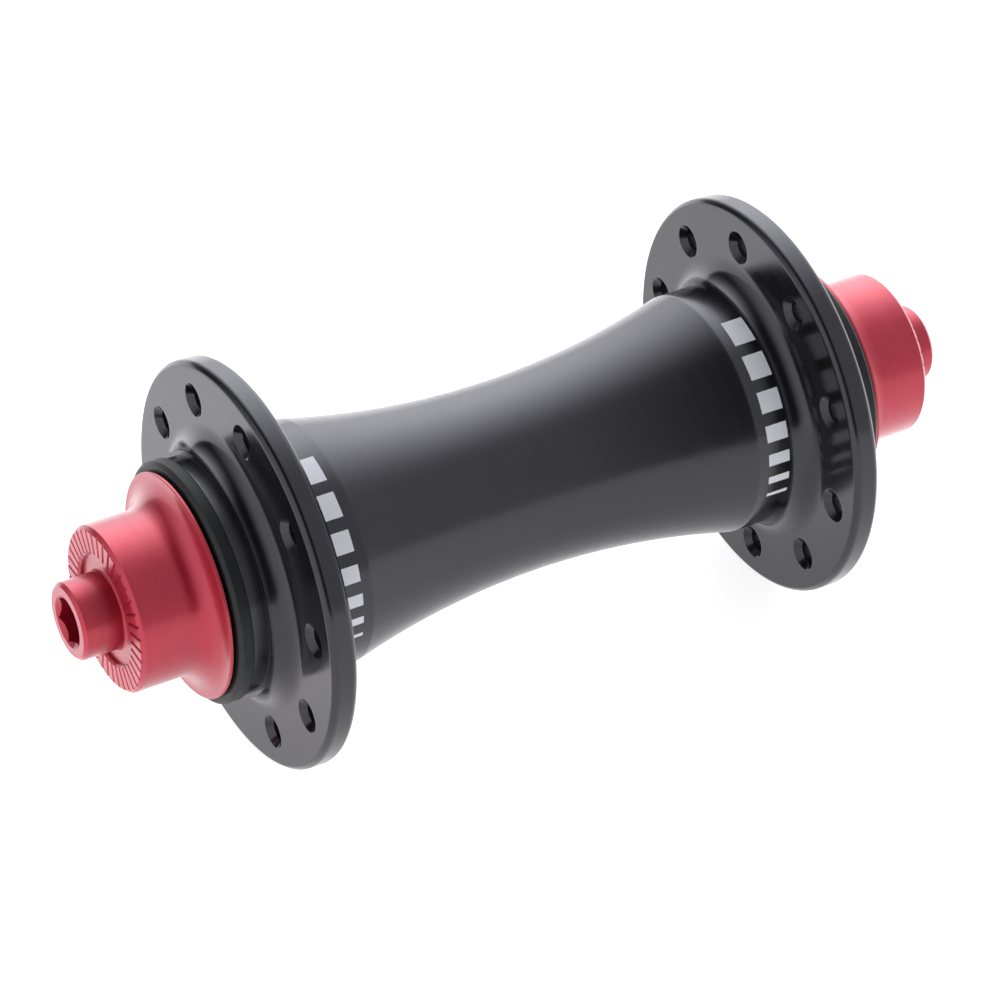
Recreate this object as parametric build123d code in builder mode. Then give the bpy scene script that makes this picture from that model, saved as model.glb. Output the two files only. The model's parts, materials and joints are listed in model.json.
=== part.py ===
from build123d import *
import os

# Bicycle front hub at full size, in millimetres.
# The hub's axis is Y and its centre is the origin, with +Z up.  "left" is the -Y end, "right" the +Y end.
# Outlines are drawn on the XY plane as (radius, distance from the hub's centre) and turned about Y.

# Overall width and dropout stub
over_locknut_width = 100.0
locknut_y = over_locknut_width / 2
stub_radius = 4.45
stub_length = 4.35
stub_end_y = locknut_y + stub_length
stub_chamfer = 0.4
stub_root_fillet = 0.4

# Hexagon socket in the stub, round the bore for a skewer
skewer_bore_radius = 2.55
socket_across_flats = 5.05
socket_depth = 5.0
socket_countersink = 0.5
socket_turn = 7.0

# Serrated face of the end cap
recess_radius = 6.35
recess_depth = 0.55
serration_inner_radius = 6.6
serration_count = 39
serration_width = 0.46
serration_depth = 0.20
serration_turn = 3.9
serration_overcut = 0.2

# Body of the end cap
cap_radius = 9.5
cap_chamfer = 0.45
flare_radius = 3.0
disc_radius = 12.9
disc_front_y = 41.25
disc_back_y = 40.85
disc_chamfer = 0.15
nose_radius = 7.3
spigot_radius = 4.95
spigot_end_y = 30.0
spigot_chamfer = 0.6

# O-ring on the spigot
o_ring_y = 37.4
o_ring_groove_width = 1.1
o_ring_section_radius = 0.38
o_ring_groove_radius = 4.2
o_ring_clearance = 0.01

# Hub shell
waist_radius = 10.95
band_y = 24.5
band_inner_radius = 14.05
band_outer_radius = 14.1
flange_radius = 23.45
flange_inner_y = 31.3
flange_outer_y = 34.35
flange_edge = 0.5
inner_cove_radius = 2.8
outer_cove_radius = 2.55
collar_radius = 14.1
boss_radius = 13.6
boss_y = 38.8
neck_radius = 13.0
neck_end_y = 40.0
shell_bore_radius = 8.9
relief_radius = 10.7
relief_depth = 1.2
seat_chamfer = 0.3

# Spoke holes
spoke_count = 10
spoke_circle_radius = 19.1
spoke_hole_radius = 1.3
spoke_countersink_radius = 1.95
spoke_turn = {-1: 10.0, 1: -8.0}

# Cartridge bearing, 12 x 24 x 6
bearing_bore_radius = 6.0
bearing_outer_radius = 12.0
bearing_width = 6.0
bearing_y = 36.0
race_inner_radius = 8.0
race_outer_radius = 10.0
race_chamfer = 0.3
ball_radius = 3.175 / 2
ball_count = 10
pitch_radius = (bearing_bore_radius + bearing_outer_radius) / 2
raceway_radius = 1.65
shield_outer_radius = 10.6
shield_thickness = 0.6
shield_recess = 0.75
shield_inset = 0.12
running_clearance = 0.06

# Ball cage
cage_inner_radius = 8.35
cage_outer_radius = 9.65
cage_back = 2.1
cage_front = 0.9
pocket_radius = 1.68

# Dust ring and lip seal
dust_ring_radius = 13.85
dust_ring_front_y = 40.5
dust_ring_mouth_radius = 12.35
dust_ring_chamfer = 0.4
lip_seal_back_y = 39.15
lip_root_thickness = 0.85
lip_thickness = 0.4
lip_root_radius = 8.6

# Axle tube
axle_bore_radius = 4.3
axle_thread_radius = 5.0
axle_thread_y = 29.0
axle_thread_runout = 0.5
axle_middle_radius = 6.5
axle_shoulder_radius = 7.4
axle_shoulder_width = 3.0
axle_shoulder_taper = 1.0
axle_end_y = 38.6
axle_chamfer = 0.25

bearing_inner_y = bearing_y - bearing_width / 2
bearing_outer_y = bearing_y + bearing_width / 2
shoulder_y = bearing_inner_y


def outboard_plane(distance, side):
    """A plane square to the axis, facing away from the hub's centre, with its X along the hub's +Z."""
    return Plane(origin=(0, side * distance, 0), x_dir=(0, 0, 1), z_dir=(0, side, 0))


def on_side(points, side):
    """Outline points (radius, distance) carried to one end of the hub."""
    return [(radius, side * distance) for radius, distance in points]


def hub_shell():
    """One-piece shell: waisted barrel, two drilled flanges and a bearing boss at each end."""
    cove_start = (band_outer_radius, flange_inner_y - inner_cove_radius)
    cove_end = (band_outer_radius + inner_cove_radius, flange_inner_y)
    outer_cove_start = (collar_radius + outer_cove_radius, flange_outer_y)
    outer_cove_end = (collar_radius, flange_outer_y + outer_cove_radius)
    with BuildPart() as shell:
        with BuildSketch(Plane.XY):
            with BuildLine():
                TangentArc((waist_radius, 0), (band_inner_radius, band_y), tangent=(0, 1))
                Line((band_inner_radius, band_y), cove_start)
                TangentArc(cove_start, cove_end, tangent=(0, 1))
                Polyline(
                    cove_end,
                    (flange_radius - flange_edge, flange_inner_y),
                    (flange_radius, flange_inner_y + flange_edge),
                    (flange_radius, flange_outer_y - flange_edge),
                    (flange_radius - flange_edge, flange_outer_y),
                    outer_cove_start,
                )
                TangentArc(outer_cove_start, outer_cove_end, tangent=(-1, 0))
                Polyline(
                    outer_cove_end,
                    (boss_radius, flange_outer_y + outer_cove_radius),
                    (boss_radius, boss_y),
                    (neck_radius, boss_y),
                    (neck_radius, neck_end_y),
                    (bearing_outer_radius + seat_chamfer, neck_end_y),
                    (bearing_outer_radius, neck_end_y - seat_chamfer),
                    (bearing_outer_radius, bearing_inner_y),
                    (relief_radius, bearing_inner_y),
                    (relief_radius, bearing_inner_y - relief_depth),
                    (shell_bore_radius, bearing_inner_y - relief_depth),
                    (shell_bore_radius, 0),
                )
                mirror(about=Plane.XZ)
            make_face()
        revolve(axis=Axis.Y)
        for side, turn in spoke_turn.items():
            drill_flange(side, turn)
    return shell


def drill_flange(side, turn):
    """Spoke holes through one flange, countersunk from both faces."""
    thickness = flange_outer_y - flange_inner_y
    inner_face = Plane(origin=(0, side * flange_inner_y, 0), x_dir=(0, 0, 1), z_dir=(0, -side, 0))
    with Locations(outboard_plane(flange_outer_y, side)):
        with PolarLocations(spoke_circle_radius, spoke_count, start_angle=side * turn):
            CounterSinkHole(spoke_hole_radius, spoke_countersink_radius, depth=thickness)
    with Locations(inner_face):
        with PolarLocations(spoke_circle_radius, spoke_count, start_angle=-side * turn):
            CounterSinkHole(spoke_hole_radius, spoke_countersink_radius, depth=thickness)


def end_cap(side):
    """End cap: dropout stub, serrated face, flared disc, nose on the bearing and spigot in the axle."""
    floor_y = locknut_y - recess_depth
    wall_chamfer = serration_inner_radius - recess_radius
    flare_start = (cap_radius, side * (disc_front_y + flare_radius))
    flare_end = (cap_radius + flare_radius, side * disc_front_y)
    root_start = (stub_radius, side * (floor_y + stub_root_fillet))
    root_end = (stub_radius + stub_root_fillet, side * floor_y)
    socket_mouth = [
        (skewer_bore_radius, stub_end_y - socket_countersink),
        (skewer_bore_radius + socket_countersink, stub_end_y),
        (stub_radius - stub_chamfer, stub_end_y),
        (stub_radius, stub_end_y - stub_chamfer),
    ]
    serrated_face = [
        (recess_radius, floor_y),
        (recess_radius, locknut_y - wall_chamfer),
        (serration_inner_radius, locknut_y),
        (cap_radius - cap_chamfer, locknut_y),
        (cap_radius, locknut_y - cap_chamfer),
    ]
    disc_and_spigot = [
        (disc_radius - disc_chamfer, disc_front_y),
        (disc_radius, disc_front_y - disc_chamfer),
        (disc_radius, disc_back_y),
        (nose_radius, disc_back_y),
        (nose_radius, bearing_outer_y),
        (spigot_radius, bearing_outer_y),
        (spigot_radius, o_ring_y + o_ring_groove_width / 2),
        (o_ring_groove_radius, o_ring_y + o_ring_groove_width / 2),
        (o_ring_groove_radius, o_ring_y - o_ring_groove_width / 2),
        (spigot_radius, o_ring_y - o_ring_groove_width / 2),
        (spigot_radius, spigot_end_y + spigot_chamfer),
        (spigot_radius - spigot_chamfer, spigot_end_y),
        (skewer_bore_radius, spigot_end_y),
        (skewer_bore_radius, stub_end_y - socket_countersink),
    ]
    with BuildPart() as cap:
        with BuildSketch(Plane.XY):
            with BuildLine():
                Polyline(*on_side(socket_mouth, side), root_start)
                TangentArc(root_start, root_end, tangent=(0, -side))
                Polyline(root_end, *on_side(serrated_face, side), flare_start)
                TangentArc(flare_start, flare_end, tangent=(0, -side))
                Polyline(flare_end, *on_side(disc_and_spigot, side))
            make_face()
        revolve(axis=Axis.Y)
        with BuildSketch(outboard_plane(stub_end_y, side)):
            RegularPolygon(socket_across_flats / 2, 6, major_radius=False, rotation=side * socket_turn)
        extrude(amount=-socket_depth, mode=Mode.SUBTRACT)
        with Locations(outboard_plane(locknut_y, side)):
            with PolarLocations(0, serration_count, start_angle=side * serration_turn):
                add(serration_cutter().part, mode=Mode.SUBTRACT)
    return cap


def serration_cutter():
    """A V-shaped bar along +X at the height of a flat face on XY, as long as one serration."""
    wide_half = serration_width / 2 * (1 + serration_overcut / serration_depth)
    with BuildPart() as cutter:
        with BuildSketch(Plane.YZ.offset(recess_radius - serration_overcut)):
            with BuildLine():
                Polyline(
                    (-wide_half, serration_overcut),
                    (wide_half, serration_overcut),
                    (0, -serration_depth),
                    close=True,
                )
            make_face()
        extrude(amount=cap_radius - recess_radius + 2 * serration_overcut)
    return cutter


def cap_o_ring(side):
    """O-ring in the groove of the end cap's spigot."""
    centre_radius = o_ring_groove_radius + o_ring_section_radius + o_ring_clearance
    with BuildPart() as o_ring:
        with BuildSketch(Plane.XY):
            with Locations((centre_radius, side * o_ring_y)):
                Circle(o_ring_section_radius)
        revolve(axis=Axis.Y)
    return o_ring


def axle_tube():
    """Hollow axle with a shoulder behind each bearing, and bored wider at the ends for the end caps."""
    with BuildPart() as axle:
        with BuildSketch(Plane.XY):
            with BuildLine():
                Polyline(
                    (axle_middle_radius, 0),
                    (axle_middle_radius, shoulder_y - axle_shoulder_width - axle_shoulder_taper),
                    (axle_shoulder_radius, shoulder_y - axle_shoulder_width),
                    (axle_shoulder_radius, shoulder_y),
                    (bearing_bore_radius, shoulder_y),
                    (bearing_bore_radius, axle_end_y - axle_chamfer),
                    (bearing_bore_radius - axle_chamfer, axle_end_y),
                    (axle_thread_radius, axle_end_y),
                    (axle_thread_radius, axle_thread_y),
                    (axle_bore_radius, axle_thread_y - axle_thread_runout),
                    (axle_bore_radius, 0),
                )
                mirror(about=Plane.XZ)
            make_face()
        revolve(axis=Axis.Y)
    return axle


def bearing_outer_race(side):
    """Outer race, with its raceway and a recess at each face for a rubber seal."""
    thickness = bearing_outer_radius - race_outer_radius
    recess_width = shield_outer_radius - race_outer_radius
    recess_offset = (bearing_width - shield_recess) / 2
    with BuildPart() as race:
        with BuildSketch(Plane.XY):
            with Locations((bearing_outer_radius - thickness / 2, side * bearing_y)):
                blank = Rectangle(thickness, bearing_width)
            chamfer(blank.vertices().sort_by(Axis.X)[-2:], race_chamfer)
            for offset in (-recess_offset, recess_offset):
                with Locations((race_outer_radius + recess_width / 2, side * bearing_y + offset)):
                    Rectangle(recess_width, shield_recess, mode=Mode.SUBTRACT)
            with Locations((pitch_radius, side * bearing_y)):
                Circle(raceway_radius, mode=Mode.SUBTRACT)
        revolve(axis=Axis.Y)
    return race


def bearing_inner_race(side):
    """Inner race, with its raceway."""
    thickness = race_inner_radius - bearing_bore_radius
    with BuildPart() as race:
        with BuildSketch(Plane.XY):
            with Locations((bearing_bore_radius + thickness / 2, side * bearing_y)):
                blank = Rectangle(thickness, bearing_width)
            chamfer(blank.vertices().sort_by(Axis.X)[:2], race_chamfer)
            with Locations((pitch_radius, side * bearing_y)):
                Circle(raceway_radius, mode=Mode.SUBTRACT)
        revolve(axis=Axis.Y)
    return race


def bearing_shield(side, direction):
    """Rubber seal set into the outer race: direction is 1 for the outboard face, -1 for the inboard."""
    inner_radius = race_inner_radius + running_clearance
    face_offset = bearing_width / 2 - shield_inset - shield_thickness / 2
    middle_y = side * (bearing_y + direction * face_offset)
    with BuildPart() as shield:
        with BuildSketch(Plane.XY):
            with Locations(((inner_radius + shield_outer_radius) / 2, middle_y)):
                Rectangle(shield_outer_radius - inner_radius, shield_thickness)
        revolve(axis=Axis.Y)
    return shield


def bearing_balls(side):
    """The balls of one bearing."""
    with BuildPart() as balls:
        with Locations(outboard_plane(bearing_y, side)):
            with PolarLocations(pitch_radius, ball_count):
                Sphere(ball_radius)
    return balls


def bearing_cage(side):
    """Crown cage: a ring with a round pocket for each ball, open towards the outboard face."""
    middle_y = bearing_y + (cage_front - cage_back) / 2
    middle_radius = (cage_inner_radius + cage_outer_radius) / 2
    with BuildPart() as cage:
        with BuildSketch(Plane.XY):
            with Locations((middle_radius, side * middle_y)):
                Rectangle(cage_outer_radius - cage_inner_radius, cage_front + cage_back)
        revolve(axis=Axis.Y)
        with Locations(outboard_plane(bearing_y, side)):
            with PolarLocations(pitch_radius, ball_count):
                Sphere(pocket_radius, mode=Mode.SUBTRACT)
    return cage


def dust_ring(side):
    """Ring pressed over the neck of the bearing boss, with a lip that holds the seal in."""
    outline = [
        (neck_radius, boss_y),
        (dust_ring_radius, boss_y),
        (dust_ring_radius, dust_ring_front_y - dust_ring_chamfer),
        (dust_ring_radius - dust_ring_chamfer, dust_ring_front_y),
        (dust_ring_mouth_radius, dust_ring_front_y),
        (dust_ring_mouth_radius, neck_end_y),
        (neck_radius, neck_end_y),
    ]
    with BuildPart() as ring:
        with BuildSketch(Plane.XY):
            with BuildLine():
                Polyline(*on_side(outline, side), close=True)
            make_face()
        revolve(axis=Axis.Y)
    return ring


def lip_seal(side):
    """Rubber seal outboard of the bearing, thinning to a lip that runs on the end cap's nose."""
    lip_radius = nose_radius + running_clearance
    outline = [
        (bearing_outer_radius, lip_seal_back_y),
        (bearing_outer_radius, lip_seal_back_y + lip_root_thickness - seat_chamfer),
        (lip_root_radius, lip_seal_back_y + lip_root_thickness - seat_chamfer),
        (lip_radius, lip_seal_back_y + lip_thickness),
        (lip_radius, lip_seal_back_y),
    ]
    with BuildPart() as seal:
        with BuildSketch(Plane.XY):
            with BuildLine():
                Polyline(*on_side(outline, side), close=True)
            make_face()
        revolve(axis=Axis.Y)
    return seal


def save(piece, node):
    """Label a finished piece and write it as its own STEP file."""
    piece.part.label = node
    export_step(piece.part, f"parts/{node}.step")


os.makedirs("parts", exist_ok=True)
save(hub_shell(), "hub_shell")
save(axle_tube(), "axle_tube")
for side, end in ((-1, "left"), (1, "right")):
    save(end_cap(side), f"end_cap_{end}")
    save(cap_o_ring(side), f"cap_o_ring_{end}")
    save(dust_ring(side), f"dust_ring_{end}")
    save(lip_seal(side), f"lip_seal_{end}")
    save(bearing_outer_race(side), f"bearing_outer_race_{end}")
    save(bearing_inner_race(side), f"bearing_inner_race_{end}")
    save(bearing_balls(side), f"bearing_balls_{end}")
    save(bearing_cage(side), f"bearing_cage_{end}")
    save(bearing_shield(side, 1), f"bearing_shield_outer_{end}")
    save(bearing_shield(side, -1), f"bearing_shield_inner_{end}")
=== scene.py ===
import bmesh
import bpy
import json
import math
from mathutils import Matrix, Vector


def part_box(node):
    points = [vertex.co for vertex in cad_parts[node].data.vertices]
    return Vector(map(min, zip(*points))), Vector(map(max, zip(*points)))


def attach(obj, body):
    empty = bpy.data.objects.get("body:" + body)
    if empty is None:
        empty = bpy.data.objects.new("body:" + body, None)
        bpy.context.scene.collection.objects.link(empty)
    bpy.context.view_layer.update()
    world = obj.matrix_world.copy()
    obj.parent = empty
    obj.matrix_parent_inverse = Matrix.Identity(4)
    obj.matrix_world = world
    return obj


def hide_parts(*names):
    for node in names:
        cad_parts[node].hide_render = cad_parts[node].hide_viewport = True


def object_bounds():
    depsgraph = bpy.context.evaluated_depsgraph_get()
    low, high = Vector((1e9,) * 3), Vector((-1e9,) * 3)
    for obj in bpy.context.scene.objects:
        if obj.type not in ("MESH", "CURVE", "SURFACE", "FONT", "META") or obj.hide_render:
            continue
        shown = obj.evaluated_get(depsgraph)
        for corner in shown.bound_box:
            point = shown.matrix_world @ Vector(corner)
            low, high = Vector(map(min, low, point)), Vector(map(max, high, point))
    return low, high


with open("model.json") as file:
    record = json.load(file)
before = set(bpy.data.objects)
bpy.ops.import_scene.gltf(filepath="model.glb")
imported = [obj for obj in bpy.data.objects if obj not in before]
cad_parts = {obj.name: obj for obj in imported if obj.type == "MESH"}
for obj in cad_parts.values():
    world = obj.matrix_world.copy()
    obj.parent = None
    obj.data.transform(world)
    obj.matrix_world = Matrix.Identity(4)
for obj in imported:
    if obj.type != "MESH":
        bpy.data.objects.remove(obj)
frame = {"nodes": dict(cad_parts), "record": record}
cad_low, cad_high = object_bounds()

# Bicycle front hub.  Outlines are (radius, distance from the hub's centre) in millimetres and are turned
# about Y.  Angles go from +Z towards +X, in degrees.
MM = 0.001
FLANGE_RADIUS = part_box("hub_shell")[1].x / MM
NECK_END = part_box("hub_shell")[1].y / MM
STUB_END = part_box("end_cap_right")[1].y / MM
SPIGOT_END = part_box("end_cap_right")[0].y / MM
DISC_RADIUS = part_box("end_cap_right")[1].x / MM
RING_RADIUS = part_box("dust_ring_right")[1].x / MM
RING_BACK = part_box("dust_ring_right")[0].y / MM
RING_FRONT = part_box("dust_ring_right")[1].y / MM
LOCKNUT = 50.0
ENDS = ((-1, "left"), (1, "right"))


# ---------------------------------------------------------------- outlines

def arc(centre, radius, start, end, steps):
    """Points on an arc; angles in degrees from the radius direction towards +Y."""
    out = []
    for i in range(steps + 1):
        a = math.radians(start + (end - start) * i / steps)
        out.append((centre[0] + radius * math.cos(a), centre[1] + radius * math.sin(a)))
    return out


REACH_MOST = 0.45   # an arc takes at most this share of either edge beside its corner
HOLD_MOST = 0.48    # and a held point lies within this share


def rounded(points, steps=4, hold=0.05):
    """An outline whose corners (radius, distance, rounding) become small arcs with a held point each side."""
    out = []
    for i, p in enumerate(points):
        if len(p) == 2 or i in (0, len(points) - 1):
            out.append((p[0], p[1]))
            continue
        corner, before, after = Vector(p[:2]), Vector(points[i - 1][:2]), Vector(points[i + 1][:2])
        u, w = before - corner, after - corner
        turn = math.pi - u.angle(w)
        reach = min(p[2] * math.tan(turn / 2), REACH_MOST * u.length, REACH_MOST * w.length)
        size = reach / math.tan(turn / 2)
        u.normalize()
        w.normalize()
        middle = corner + (u + w).normalized() * (size / math.cos(turn / 2))
        first, last = corner + u * reach - middle, corner + w * reach - middle
        if reach + hold < HOLD_MOST * (before - corner).length:
            out.append(tuple(corner + u * (reach + hold)))
        sweep = first.angle_signed(last)
        for k in range(steps + 1):
            a = -sweep * k / steps
            c, s = math.cos(a), math.sin(a)
            out.append((middle.x + first.x * c - first.y * s, middle.y + first.x * s + first.y * c))
        if reach + hold < HOLD_MOST * (after - corner).length:
            out.append(tuple(corner + w * (reach + hold)))
    return out


def on_side(points, side):
    return [(r, side * y) for r, y in points]


# ---------------------------------------------------------------- meshes

# Material indices of the shell: satin barrel, etched bars, and the glossier flanges and bosses.
SATIN, ETCHED, GLOSSY = 0, 1, 2


def unrolled(angles, first, k):
    """The angle from column first to the k-th column after it, counting whole turns."""
    n = len(angles)
    return (angles[(first + k) % n] - angles[first]) % 360 + 360 * (k // n)


class Maker:
    """Collects rings of points and the faces between them; finish is the material index of new faces."""

    def __init__(self):
        self.points = []
        self.faces = []
        self.marks = []
        self.finish = SATIN

    def ring(self, angles, radius, y):
        """A ring of points; radius and y are numbers or lists with one value for each angle."""
        start = len(self.points)
        for i, a in enumerate(angles):
            r = radius[i] if isinstance(radius, (list, tuple)) else radius
            h = y[i] if isinstance(y, (list, tuple)) else y
            t = math.radians(a)
            self.points.append((r * math.sin(t), h, r * math.cos(t)))
        return list(range(start, start + len(angles)))

    def band(self, a, b, marked=None):
        """Faces between two closed rings of equal counts; the marked columns get the etched finish."""
        n = len(a)
        for i in range(n):
            j = (i + 1) % n
            self.faces.append((a[i], a[j], b[j], b[i]))
            self.marks.append(ETCHED if marked and marked(i) else self.finish)

    def strip(self, rings):
        for a, b in zip(rings, rings[1:]):
            self.band(a, b)

    def bridge(self, a, a_angles, b, b_angles):
        """Triangles between two closed rings of different counts on a flat face."""
        n = len(a)
        m = len(b)
        i = j = 0
        first = min(range(m), key=lambda k: abs((b_angles[k] - a_angles[0] + 180) % 360 - 180))
        while i < n or j < m:
            if j >= m or (i < n and unrolled(a_angles, 0, i + 1) <= unrolled(b_angles, first, j + 1)):
                self.faces.append((a[i % n], a[(i + 1) % n], b[(first + j) % m]))
                i += 1
            else:
                self.faces.append((a[i % n], b[(first + j + 1) % m], b[(first + j) % m]))
                j += 1
            self.marks.append(self.finish)

    def build(self, name, sharp=32.0):
        mesh = bpy.data.meshes.new(name)
        mesh.from_pydata([tuple(c * MM for c in p) for p in self.points], [], self.faces)
        mesh.polygons.foreach_set("material_index", self.marks)
        bm = bmesh.new()
        bm.from_mesh(mesh)
        bmesh.ops.recalc_face_normals(bm, faces=bm.faces)
        bm.to_mesh(mesh)
        bm.free()
        mesh.shade_smooth()
        mesh.set_sharp_from_angle(angle=math.radians(sharp))
        obj = bpy.data.objects.new(name, mesh)
        bpy.context.scene.collection.objects.link(obj)
        return obj


# ---------------------------------------------------------------- hub shell

COLUMNS = 360
EVEN = [360 / COLUMNS * i for i in range(COLUMNS)]
WAIST = 10.95
BARREL_STEPS = 32
BAND_Y = 24.5
BAND_IN, BAND_OUT = 14.05, 14.10
SHOULDER, SHOULDER_ROUND = 0.75, 1.2
MARK_LOW, MARK_HIGH = 25.75, 28.4
MARK_LEAD = 0.3
FLANGE_IN, FLANGE_OUT = 31.3, 34.35
FLANGE_EDGE, EDGE_ROUND = 0.5, 0.7
FACE_EDGE = FLANGE_RADIUS - 0.85
COVE_IN, COVE_OUT = 2.8, 2.55
COLLAR, BOSS, BOSS_Y = 14.1, 13.6, 38.8
COLLAR_STEP = 0.001
NECK, NECK_MOUTH = 13.0, 12.3
SEAT, SEAT_END, SEAT_LEAD = 12.0, 33.0, 0.3
RELIEF, RELIEF_END = 10.7, 31.8
SHELL_BORE = 8.9
SPOKES, CIRCLE = 10, 19.1
SPOKE_TURN = {-1: 10, 1: -8}
HOLE, SINK, SINK_SLOPE = 1.3, 1.95, 41
LIP_OUT, MOUTH_OUT = 0.25, 0.22     # the countersink's edge starts this far outside it
SECTOR_STEPS = 12                   # faces along the radial edge of each hole's sector
HOLE_START = 22.5                   # angle of a hole ring's first point, which faces a sector's corner
BETWEEN = 0.55                      # place of the row between a sector's edge and its hole


def barrel(y):
    big = (BAND_Y ** 2 + (BAND_IN - WAIST) ** 2) / (2 * (BAND_IN - WAIST))
    return WAIST + big - math.sqrt(big * big - y * y)


def band_radius(y):
    return BAND_IN + (BAND_OUT - BAND_IN) * (y - BAND_Y) / (FLANGE_IN - COVE_IN - BAND_Y)


# Plain etched bars along the axis, as (first column, width in columns), narrowing round the band.
BARS = ((12, 14), (32, 12), (50, 10), (66, 8), (80, 6), (92, 4), (102, 2))


def in_bar(column):
    return any(first <= column < first + width for first, width in BARS)


def shell():
    m = Maker()
    inner_rings = {}
    # Barrel from the waist to the foot of the flange, with the band that holds the etched bars.
    plain = [(barrel(y), y) for y in [BAND_Y * i / BARREL_STEPS for i in range(BARREL_STEPS)]]
    foot, lead_in = BAND_Y - SHOULDER, MARK_LOW - MARK_LEAD
    edge = rounded([(barrel(foot), foot), (BAND_IN, BAND_Y, SHOULDER_ROUND), (band_radius(lead_in), lead_in)],
                   3, 0.06)
    satin_rings = len(plain) + 2
    cove = arc((BAND_OUT + COVE_IN, FLANGE_IN - COVE_IN), COVE_IN, 180, 90, 18)
    for side in (-1, 1):
        rings = [m.ring(EVEN, r, side * y) for r, y in plain[1:] + edge]
        lead = [m.ring(EVEN, band_radius(y), side * y) for y in (MARK_LOW, MARK_HIGH)]
        tail = [m.ring(EVEN, r, side * y) for r, y in cove]
        m.finish = SATIN
        m.strip(rings[:satin_rings])
        m.finish = GLOSSY
        m.strip(rings[satin_rings - 1:] + lead[:1])
        m.band(lead[0], lead[1], marked=in_bar)
        m.strip(lead[-1:] + tail)
        inner_rings[side] = (rings[0], tail[-1])
    middle = m.ring(EVEN, WAIST, 0)
    m.finish = SATIN
    m.band(inner_rings[-1][0], middle)
    m.band(middle, inner_rings[1][0])
    m.finish = GLOSSY
    # Rim of each flange, and the face edges next to it.
    inset = FLANGE_RADIUS - FLANGE_EDGE
    rim = rounded([(FACE_EDGE, FLANGE_IN), (inset, FLANGE_IN, EDGE_ROUND),
                   (FLANGE_RADIUS, FLANGE_IN + FLANGE_EDGE, EDGE_ROUND),
                   (FLANGE_RADIUS, FLANGE_OUT - FLANGE_EDGE, EDGE_ROUND),
                   (inset, FLANGE_OUT, EDGE_ROUND), (FACE_EDGE, FLANGE_OUT)], 6)
    # Boss, neck and bearing bore, down to the middle.
    boss = arc((COLLAR + COVE_OUT, FLANGE_OUT + COVE_OUT), COVE_OUT, 270, 180, 16)
    step = FLANGE_OUT + COVE_OUT + COLLAR_STEP
    boss += rounded([boss[-1], (COLLAR, step), (BOSS, step, 0.03), (BOSS, BOSS_Y, 0.05), (NECK, BOSS_Y, 0.05),
                     (NECK, NECK_END, 0.12), (NECK_MOUTH, NECK_END, 0.04), (SEAT, NECK_END - SEAT_LEAD, 0.04),
                     (SEAT, SEAT_END, 0.05), (RELIEF, SEAT_END, 0.05), (RELIEF, RELIEF_END, 0.05),
                     (SHELL_BORE, RELIEF_END, 0.1), (SHELL_BORE, 0)])[2:]
    ends = []
    for side in (-1, 1):
        rim_rings = [m.ring(EVEN, r, side * y) for r, y in rim]
        boss_rings = [m.ring(EVEN, r, side * y) for r, y in (boss if side < 0 else boss[:-1])]
        m.strip(rim_rings)
        if side > 0:
            boss_rings.append(ends[0])
        ends.append(boss_rings[-1])
        m.strip(boss_rings)
        drilled_flange(m, side, inner_rings[side][1], boss_rings[0], rim_rings[0], rim_rings[-1])
    return m.build("shell_body")


def hole_ring(m, centre, out, along, radius, y, count):
    """A ring of points round a spoke hole's axis, out and along being the directions across it."""
    start = len(m.points)
    for k in range(count):
        a = math.radians(HOLE_START + 360 * k / count)
        p = centre + along * (radius * math.cos(a)) + out * (radius * math.sin(a))
        m.points.append((p.x, y, p.z))
    return list(range(start, start + count))


def radial_line(m, lines, face, inner, outer, at):
    """Points on a radial line between two rings, shared by the sectors either side through lines."""
    key = (face, at)
    if key not in lines:
        a, b = Vector(m.points[inner[at]]), Vector(m.points[outer[at]])
        line = [inner[at]]
        for k in range(1, SECTOR_STEPS):
            m.points.append(tuple(a.lerp(b, k / SECTOR_STEPS)))
            line.append(len(m.points) - 1)
        lines[key] = line + [outer[at]]
    return lines[key]


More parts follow.
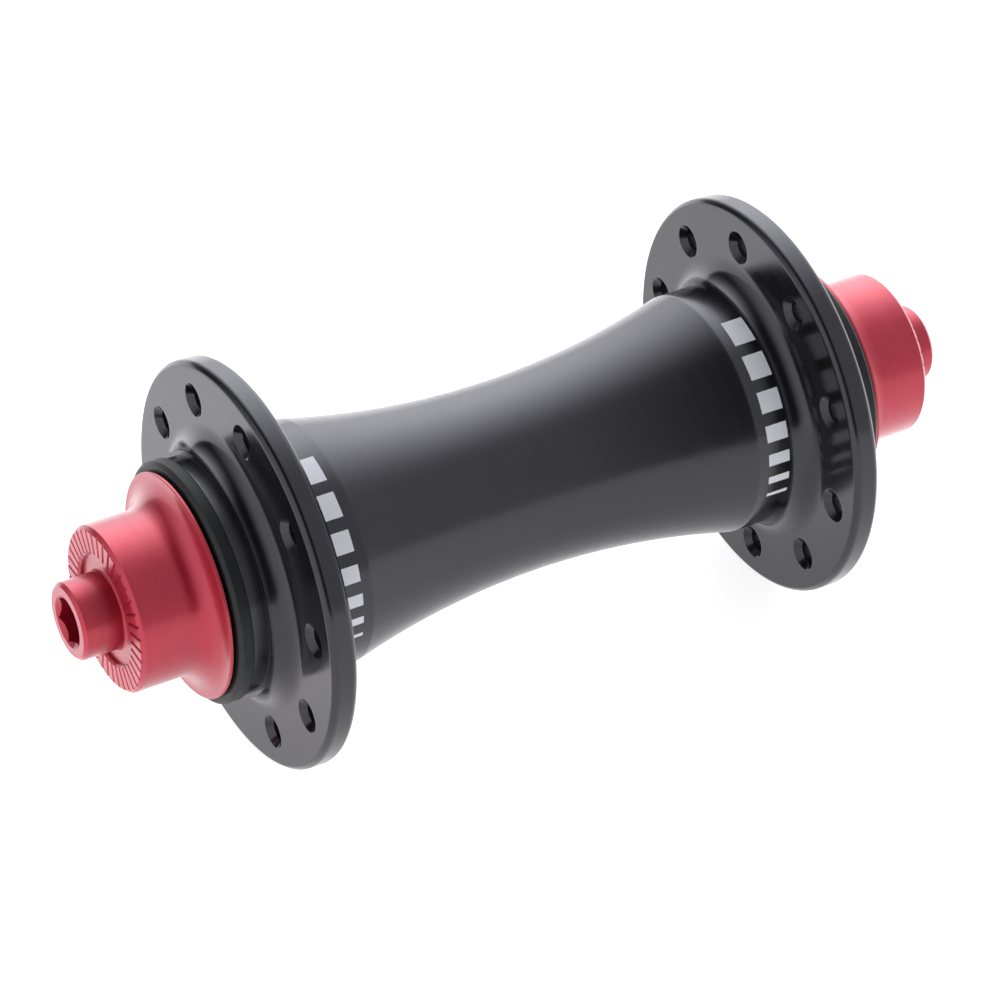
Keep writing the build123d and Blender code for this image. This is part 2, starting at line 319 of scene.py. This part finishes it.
def drilled_flange(m, side, cove_ring, boss_ring, in_ring, out_ring):
    """Both faces of a flange and the countersunk holes through it."""
    per = COLUMNS // SPOKES
    count = 2 * (per + SECTOR_STEPS)
    drop = (SINK - HOLE) / math.tan(math.radians(SINK_SLOPE))
    half = (FLANGE_OUT - FLANGE_IN) / 2
    hole = rounded([(SINK + LIP_OUT, 0), (SINK, 0, 0.08), (HOLE, drop, 0.1), (HOLE, half)], 3, 0.04)[1:]
    lines = {}
    for n in range(SPOKES):
        middle = SPOKE_TURN[side] + n * per
        lo, hi = (middle - per // 2) % COLUMNS, (middle + per // 2) % COLUMNS
        t = math.radians(middle)
        centre = Vector((CIRCLE * math.sin(t), 0, CIRCLE * math.cos(t)))
        out, along = Vector((math.sin(t), 0, math.cos(t))), Vector((math.cos(t), 0, -math.sin(t)))
        walls = []
        for face, y, inner, outer, sign in (("in", FLANGE_IN, cove_ring, in_ring, 1),
                                            ("out", FLANGE_OUT, boss_ring, out_ring, -1)):
            # Round the sector from its outer corner at the high angle: rim, low side, hub ring, high side.
            around = [outer[(hi - k) % COLUMNS] for k in range(per)]
            around += radial_line(m, lines, face, inner, outer, lo)[:0:-1]
            around += [inner[(lo + k) % COLUMNS] for k in range(per)]
            around += radial_line(m, lines, face, inner, outer, hi)[:-1]
            mouth = hole_ring(m, centre, out, along, SINK + MOUTH_OUT, side * y, count)
            between = []
            for edge_point, hole_point in zip(around, mouth):
                p = Vector(m.points[edge_point]).lerp(Vector(m.points[hole_point]), BETWEEN)
                m.points.append(tuple(p))
                between.append(len(m.points) - 1)
            m.band(around, between)
            m.band(between, mouth)
            rings = [mouth] + [hole_ring(m, centre, out, along, r, side * (y + sign * d), count)
                               for r, d in hole[1:-1]]
            m.strip(rings)
            walls.append(rings[-1])
        m.band(walls[0], walls[1])


# ---------------------------------------------------------------- end caps

TEETH, TEETH_TURN = 39, 3.9
GROOVE, GROOVE_DEEP = 0.23, 0.20
RECESS, TEETH_IN, CAP = 6.35, 6.6, 9.5
TEETH_OUT = CAP - 0.45
FLOOR = LOCKNUT - 0.55
STUB, BORE, HEX = 4.45, 2.55, 5.05 / 2
HEX_DEEP, HEX_TURN = 5.0, 7.0
HEX_MOUTH, HEX_LEAD = 3.05, 0.5
ACROSS = (-1.0, -0.5, 0.0, 0.5, 1.0)    # points across a groove, as shares of its half width
LANDS = 4                               # faces across the land between two grooves
THINNEST = 0.05                         # half width that a groove keeps where it runs out
FLARE, FLARE_Y = 3.0, 44.25
DISC_BACK, DISC_FRONT = 40.85, 41.25
NOSE, NOSE_END = 7.3, 39.0
SPIGOT, SPIGOT_LEAD, SPIGOT_TIP = 4.95, 0.6, 4.35
O_RING, O_RING_OUT, O_RING_IN = 4.2, 37.95, 36.85
STUB_ROOT, STUB_EDGE = 0.4, 0.4
CAP_EDGE = LOCKNUT - 0.52


def tooth_width(radius):
    """Half the groove's width where it meets the flat land or the slopes at the land's two edges."""
    over = max(0.0, radius - TEETH_OUT, TEETH_IN - radius)
    return max(GROOVE * (1 - over / GROOVE_DEEP), THINNEST)


def land_height(radius):
    return LOCKNUT - max(0.0, radius - TEETH_OUT, TEETH_IN - radius)


def tooth_angles(radius):
    """Angles of all columns at this radius: across each groove, then over the land to the next."""
    pitch = 360 / TEETH
    half = math.degrees(math.asin(tooth_width(radius) / radius))
    out = []
    for n in range(TEETH):
        base = TEETH_TURN + n * pitch
        out += [base + half * u for u in ACROSS]
        gap = pitch - 2 * half
        out += [base + half + gap * k / LANDS for k in range(1, LANDS)]
    return out


def tooth_heights(radius, side):
    out = []
    for _ in range(TEETH):
        for u in ACROSS:
            groove = LOCKNUT - GROOVE_DEEP * (1 - abs(u) * tooth_width(radius) / GROOVE)
            out.append(side * min(groove, land_height(radius)))
        out += [side * land_height(radius)] * (LANDS - 1)
    return out


def hex_radius(angle):
    off = (angle - HEX_TURN) % 60 - 30
    return max(BORE, HEX / math.cos(math.radians(off)))


def end_cap(side, name):
    m = Maker()
    columns = tooth_angles(CAP)
    # Serrated face: rows of constant radius from the recess's wall to the cap's side.
    radii = [RECESS, 6.45, 6.53, 6.6, 6.8, 7.2, 7.7, 8.2, 8.7, 9.05, 9.14, 9.23, 9.32, 9.42, CAP]
    rows = [m.ring(tooth_angles(r), r, tooth_heights(r, side)) for r in radii]
    floor = m.ring(tooth_angles(RECESS), RECESS, side * FLOOR)
    m.band(floor, rows[0])
    m.strip(rows)
    flare = arc((CAP + FLARE, FLARE_Y), FLARE, 180, 270, 20)
    side_line = [(CAP, y) for y in (CAP_EDGE, 48.0, 46.0, 44.6)] + flare
    disc = rounded([flare[-1], (DISC_RADIUS, DISC_FRONT, 0.1), (DISC_RADIUS, DISC_BACK, 0.06),
                    (NOSE, DISC_BACK, 0.1), (NOSE, NOSE_END, 0.1), (SPIGOT, NOSE_END, 0.1),
                    (SPIGOT, O_RING_OUT, 0.03), (O_RING, O_RING_OUT, 0.05), (O_RING, O_RING_IN, 0.05),
                    (SPIGOT, O_RING_IN, 0.03), (SPIGOT, SPIGOT_END + SPIGOT_LEAD, 0.05),
                    (SPIGOT_TIP, SPIGOT_END, 0.05), (3.4, SPIGOT_END)])[1:]
    body = [m.ring(columns, r, side * y) for r, y in side_line + disc]
    m.strip([rows[-1]] + body)
    # Stub, socket and bore on the socket's own columns.
    spread = (0, 3, 6, 9.5, 13, 17, 21.97, 26, 30, 34, 38.03, 43, 47, 50.5, 54, 57)
    hex_columns = [HEX_TURN + 60 * n + a for n in range(6) for a in spread]
    root = [(5.4, FLOOR)] + arc((STUB + STUB_ROOT, FLOOR + STUB_ROOT), STUB_ROOT, 270, 180, 6)
    stub = root + rounded([root[-1], (STUB, STUB_END - STUB_EDGE, 0.1), (STUB - STUB_EDGE, STUB_END, 0.1),
                           (3.25, STUB_END)])[1:]
    rings = [m.ring(hex_columns, r, side * y) for r, y in stub]
    m.bridge(floor, tooth_angles(RECESS), rings[0], hex_columns)
    mouth = STUB_END - HEX_LEAD
    walls = [hex_radius(a) for a in hex_columns]
    rings.append(m.ring(hex_columns, HEX_MOUTH, side * STUB_END))
    rings.append(m.ring(hex_columns, walls, [side * (mouth + w - BORE) for w in walls]))
    rings.append(m.ring(hex_columns, walls, side * (STUB_END - HEX_DEEP)))
    rings.append(m.ring(hex_columns, BORE - 0.002, side * (STUB_END - HEX_DEEP - 0.01)))
    for y in (45.0, 40.0, 35.0, SPIGOT_END):
        rings.append(m.ring(hex_columns, BORE, side * y))
    m.strip(rings)
    m.bridge(body[-1], columns, rings[-1], hex_columns)
    return m.build(name, 24.0)


def turned(name, outline, columns=256):
    """A ring turned from a closed outline."""
    m = Maker()
    angles = [360 / columns * i for i in range(columns)]
    rings = [m.ring(angles, r, y) for r, y in outline]
    m.strip(rings)
    m.band(rings[-1], rings[0])
    return m.build(name)


RING_MOUTH, RING_EDGE = 12.35, 0.4


def dust_ring(side, name):
    line = rounded([(NECK, RING_BACK + 0.3), (NECK, RING_BACK, 0.05), (RING_RADIUS, RING_BACK, 0.12),
                    (RING_RADIUS, RING_FRONT - RING_EDGE, 0.08), (RING_RADIUS - RING_EDGE, RING_FRONT, 0.08),
                    (RING_MOUTH, RING_FRONT, 0.1), (RING_MOUTH, NECK_END, 0.04), (NECK, NECK_END, 0.04),
                    (NECK, RING_BACK + 0.6)])
    return turned(name, on_side(line, side))


LIP, LIP_ROOT = 7.36, 8.6
LIP_BACK, LIP_TIP, LIP_FRONT = 39.15, 39.55, 39.7


def lip_seal(side, name):
    line = rounded([(SEAT, 39.4), (SEAT, LIP_FRONT, 0.05), (LIP_ROOT, LIP_FRONT, 0.1), (LIP, LIP_TIP, 0.03),
                    (LIP, LIP_BACK, 0.03), (SEAT, LIP_BACK, 0.05), (SEAT, 39.3)])
    return turned(name, on_side(line, side), 192)


# ---------------------------------------------------------------- materials

TOOL_MARK = 0.00002     # depth of a lathe's marks, in metres


class Graph:
    """A node tree: make() adds a node, with its inputs given as numbers or other nodes' outputs."""

    def __init__(self, owner, output_kind, main_kind):
        owner.use_nodes = True
        self.tree = owner.node_tree
        self.tree.nodes.clear()
        output = self.tree.nodes.new("ShaderNode" + output_kind)
        self.main = self.tree.nodes.new("ShaderNode" + main_kind)
        self.tree.links.new(self.main.outputs[0], output.inputs[0])

    def give(self, socket, value):
        if isinstance(value, bpy.types.NodeSocket):
            self.tree.links.new(value, socket)
        else:
            socket.default_value = value

    def make(self, kind, inputs, out=0, **settings):
        node = self.tree.nodes.new("ShaderNode" + kind)
        for key, value in settings.items():
            setattr(node, key, value)
        for key, value in inputs.items():
            self.give(node.inputs[key], value)
        return node.outputs[out]

    def math(self, operation, a, b=0.0, clamp=False, c=0.0):
        return self.make("Math", {0: a, 1: b, 2: c}, operation=operation, use_clamp=clamp)

    def spread(self, value, low, high, to_low, to_high):
        return self.make("MapRange", {0: value, 1: low, 2: high, 3: to_low, 4: to_high})

    def vary(self, noise, to_low, to_high):
        """A range driven by a noise, over the middle stretch that holds most of its values."""
        return self.spread(noise, 0.3, 0.7, to_low, to_high)

    def mix(self, factor, a, b):
        return self.make("Mix", {0: factor, 6: a, 7: b}, out=2, data_type="RGBA")

    def noise(self, vector, scale, detail=2.0, rough=0.5, w=None):
        inputs = {"Vector": vector, "Scale": scale, "Detail": detail, "Roughness": rough}
        if w is None:
            return self.make("TexNoise", inputs, noise_dimensions="3D")
        inputs["W"] = w
        return self.make("TexNoise", inputs, noise_dimensions="4D")

    def set(self, **inputs):
        for key, value in inputs.items():
            self.give(self.main.inputs[key.replace("_", " ")], value)


class Shader(Graph):
    """A material on the principled shader."""

    def __init__(self, name):
        self.material = bpy.data.materials.new(name)
        super().__init__(self.material, "OutputMaterial", "BsdfPrincipled")

    def place(self):
        """Position in millimetres, and its radius and distance along the hub's axis."""
        spot = self.make("TexCoord", {}, out=3)
        spot = self.make("VectorMath", {0: spot, 3: 1000.0}, operation="SCALE")
        split = self.tree.nodes.new("ShaderNodeSeparateXYZ")
        self.give(split.inputs[0], spot)
        x, y, z = split.outputs
        flat = self.make("CombineXYZ", {0: x, 2: z})
        radius = self.make("VectorMath", {0: flat}, out=1, operation="LENGTH")
        return spot, radius, x, y, z

    def turning(self, place, pitch, drift=0.12):
        """Noise drawn out round the axis, as a lathe tool leaves it."""
        _, radius, x, y, z = place
        vector = self.make("CombineXYZ", {0: self.math("MULTIPLY", radius, 1 / pitch),
                                          1: self.math("MULTIPLY", y, 1 / pitch),
                                          2: self.math("MULTIPLY", x, drift)})
        return self.noise(vector, 1.0, 2.0, 0.6, self.math("MULTIPLY", z, drift))


def black_alloy(name, rough_low, rough_high, etched=False):
    s = Shader(name)
    place = s.place()
    spot = place[0]
    fine = s.turning(place, 0.11)
    broad = s.turning(place, 0.9, 0.04)
    cloud = s.noise(spot, 0.16, 3.0)
    grain = s.noise(spot, 9.0, 2.0, 0.7)
    speck = s.spread(s.noise(spot, 2.6, 1.0), 0.72, 0.78, 0.0, 1.0)
    rough = s.spread(fine, 0.25, 0.75, rough_low, rough_high)
    rough = s.math("ADD", rough, s.vary(cloud, -0.02, 0.03))
    rough = s.math("ADD", rough, s.vary(broad, -0.015, 0.02))
    base = s.mix(s.vary(broad, 0.0, 1.0), (0.0045, 0.0045, 0.0055, 1), (0.0065, 0.0065, 0.0075, 1))
    base = s.mix(s.math("MULTIPLY", speck, 0.2), base, (0.05, 0.05, 0.055, 1))
    if etched:
        base = s.mix(s.vary(grain, 0.0, 1.0), (0.62, 0.62, 0.65, 1), (0.76, 0.76, 0.79, 1))
        rough = s.vary(grain, rough_low, rough_high)
    height = s.math("ADD", s.math("MULTIPLY", fine, 0.7), s.math("MULTIPLY", grain, 0.3))
    # The tool marks show most near the barrel's two ends.
    _, _, _, y, _ = place
    ends = s.spread(s.math("ABSOLUTE", y), 15.0, 23.5, 0.04, 0.16)
    bump = s.make("Bump", {"Strength": ends, "Distance": TOOL_MARK, "Height": height})
    s.set(Base_Color=base, Roughness=rough, Normal=bump, IOR=1.52)
    s.main.inputs["Specular Tint"].default_value = (0.93, 0.93, 1.0, 1)
    return s.material


def red_alloy(name):
    s = Shader(name)
    place = s.place()
    spot = place[0]
    fine = s.turning(place, 0.05)
    broad = s.turning(place, 0.5, 0.03)
    cloud = s.noise(spot, 0.3, 3.0)
    rough = s.spread(fine, 0.25, 0.75, 0.36, 0.42)
    rough = s.math("ADD", rough, s.vary(cloud, -0.02, 0.03))
    base = s.mix(s.vary(broad, 0.0, 1.0), (0.37, 0.008, 0.026, 1), (0.42, 0.011, 0.032, 1))
    bump = s.make("Bump", {"Strength": 0.03, "Distance": TOOL_MARK, "Height": fine})
    s.set(Base_Color=base, Roughness=rough, Normal=bump, Metallic=0.55, Coat_Weight=0.7, Coat_Roughness=0.18,
          Coat_IOR=1.4)
    return s.material


def matte(name, low, high, rough_low, rough_high, scale=5.0, ior=1.5):
    """Moulded or blasted surface with a fine grain."""
    s = Shader(name)
    place = s.place()
    grain = s.noise(place[0], scale, 3.0, 0.6)
    cloud = s.noise(place[0], 0.4, 2.0)
    base = s.mix(s.vary(cloud, 0.0, 1.0), (*low, 1), (*high, 1))
    bump = s.make("Bump", {"Strength": 0.15, "Distance": 0.00003, "Height": grain})
    s.set(Base_Color=base, Roughness=s.vary(grain, rough_low, rough_high), Normal=bump, IOR=ior)
    return s.material


def steel(name, low, high, rough_low, rough_high, pitch=0.1, strength=0.06):
    """Turned or ground bare metal."""
    s = Shader(name)
    place = s.place()
    fine = s.turning(place, pitch)
    base = s.mix(s.vary(fine, 0.0, 1.0), (*low, 1), (*high, 1))
    bump = s.make("Bump", {"Strength": strength, "Distance": TOOL_MARK, "Height": fine})
    s.set(Base_Color=base, Roughness=s.vary(fine, rough_low, rough_high), Normal=bump, Metallic=1.0)
    return s.material


black = black_alloy("black_anodised", 0.17, 0.25)
gloss = black_alloy("black_anodised_gloss", 0.13, 0.20)
etch = black_alloy("etched_bars", 0.42, 0.60, True)
red = red_alloy("red_anodised")
ring_grey = matte("dust_ring_grey", (0.005, 0.0062, 0.0066), (0.007, 0.0085, 0.009), 0.42, 0.52, ior=1.36)
rubber = matte("seal_rubber_black", (0.012, 0.012, 0.012), (0.018, 0.018, 0.018), 0.55, 0.75)
nylon = matte("cage_nylon_cream", (0.55, 0.50, 0.36), (0.62, 0.56, 0.41), 0.4, 0.5)
axle_metal = steel("axle_turned", (0.55, 0.55, 0.57), (0.68, 0.68, 0.70), 0.25, 0.4, 0.15)
race_metal = steel("race_ground", (0.45, 0.45, 0.46), (0.55, 0.55, 0.56), 0.15, 0.25, 0.05)
ball_metal = steel("ball_polished", (0.62, 0.62, 0.64), (0.68, 0.68, 0.70), 0.04, 0.08, 0.3, 0.01)

FINISH = {"axle_alloy": axle_metal, "bearing_steel": race_metal, "ball_steel": ball_metal,
          "cage_nylon": nylon, "seal_rubber": rubber}


def dress(obj, *materials):
    for material in materials:
        obj.data.materials.append(material)


body = shell()
dress(body, black, etch, gloss)
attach(body, "shell")
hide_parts("hub_shell")
for side, end in ENDS:
    for make, name, node, slot, carrier, material in (
            (end_cap, "cap", "end_cap", "red_alloy", "axle", red),
            (dust_ring, "ring", "dust_ring", "dark_ring", "shell", ring_grey),
            (lip_seal, "seal", "lip_seal", "seal_rubber", "shell", rubber)):
        piece = make(side, f"{name}_{end}")
        dress(piece, material)
        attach(piece, carrier)
        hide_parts(f"{node}_{end}")

slots = {part["node"]: part["material_slot"] for part in frame["record"]["subparts"]}
for name, obj in frame["nodes"].items():
    if slots[name] in FINISH and not obj.hide_render:
        for place in obj.material_slots:
            place.material = FINISH[slots[name]]


# ---------------------------------------------------------------- floor, light and camera

FLOOR_REACH, FLOOR_SIDES = 4.0, 96


def floor():
    s = Shader("floor_white")
    cloud = s.noise(s.make("TexCoord", {}, out=3), 3.0)
    s.set(Base_Color=(0.80, 0.80, 0.80, 1), Roughness=s.vary(cloud, 0.55, 0.6))
    s.main.inputs["Emission Color"].default_value = (1, 1, 1, 1)
    s.main.inputs["Emission Strength"].default_value = 0.8
    mesh = bpy.data.meshes.new("floor")
    turns = [math.tau * i / FLOOR_SIDES for i in range(FLOOR_SIDES)]
    ring = [(FLOOR_REACH * math.cos(t), FLOOR_REACH * math.sin(t), cad_low.z) for t in turns]
    mesh.from_pydata(ring, [], [tuple(range(FLOOR_SIDES))])
    mesh.materials.append(s.material)
    obj = bpy.data.objects.new("floor", mesh)
    bpy.context.scene.collection.objects.link(obj)


SKY_PEAK = Vector((-0.67, 0.396, 0.63)).normalized()
SKY_LOBE = 3.4      # strength at the panel's middle
SKY_OPEN = 1.0      # strength towards +Y
SKY_DIM = 0.06      # strength elsewhere
SKY_END = 1.6       # strength towards -Y


def sky():
    """Studio light: a broad bright panel behind the hub, open towards +Y, dim beside it, lit from -Y."""
    world = bpy.data.worlds.new("studio")
    bpy.context.scene.world = world
    g = Graph(world, "OutputWorld", "Background")
    direction = g.make("TexCoord", {}, out=0)
    aim = g.make("VectorMath", {0: direction, 1: SKY_PEAK}, out=1, operation="DOT_PRODUCT")
    across = g.make("VectorMath", {0: direction, 1: (0.0, 1.0, 0.0)}, out=1, operation="DOT_PRODUCT")
    lobe = g.math("POWER", g.math("MULTIPLY_ADD", aim, 2.0, clamp=True, c=-1.0), 2.5)
    open_side = g.spread(across, -0.05, 0.35, SKY_DIM, SKY_OPEN)
    end_side = g.spread(across, -0.85, -0.45, SKY_END, 0.0)
    strength = g.math("ADD", g.math("MULTIPLY_ADD", lobe, SKY_LOBE, c=open_side), end_side)
    g.set(Color=(0.94, 0.94, 1.0, 1), Strength=strength)


floor()
sky()

camera_data = bpy.data.cameras.new("camera")
camera = bpy.data.objects.new("camera", camera_data)
bpy.context.scene.collection.objects.link(camera)
bpy.context.scene.camera = camera
CAMERA_AT = (0.37900, -0.21488, 0.31699)
RIGHT = Vector((0.49154, 0.87085, 0.0))
DOWN = Vector((0.5158, -0.29116, -0.8057))
FORWARD = Vector((-0.70165, 0.39604, -0.5923))
SENSOR = 36.0
IMAGE_WIDTH, FOCAL = 1000, 4812.5   # in pixels
turn = Matrix((RIGHT, -DOWN, -FORWARD)).transposed()
camera.matrix_world = Matrix.Translation(CAMERA_AT) @ turn.to_4x4()
camera_data.sensor_width = SENSOR
camera_data.lens = FOCAL / IMAGE_WIDTH * SENSOR
camera_data.clip_start = 0.01
camera_data.clip_end = 20.0
bpy.context.scene.view_settings.view_transform = "Standard"
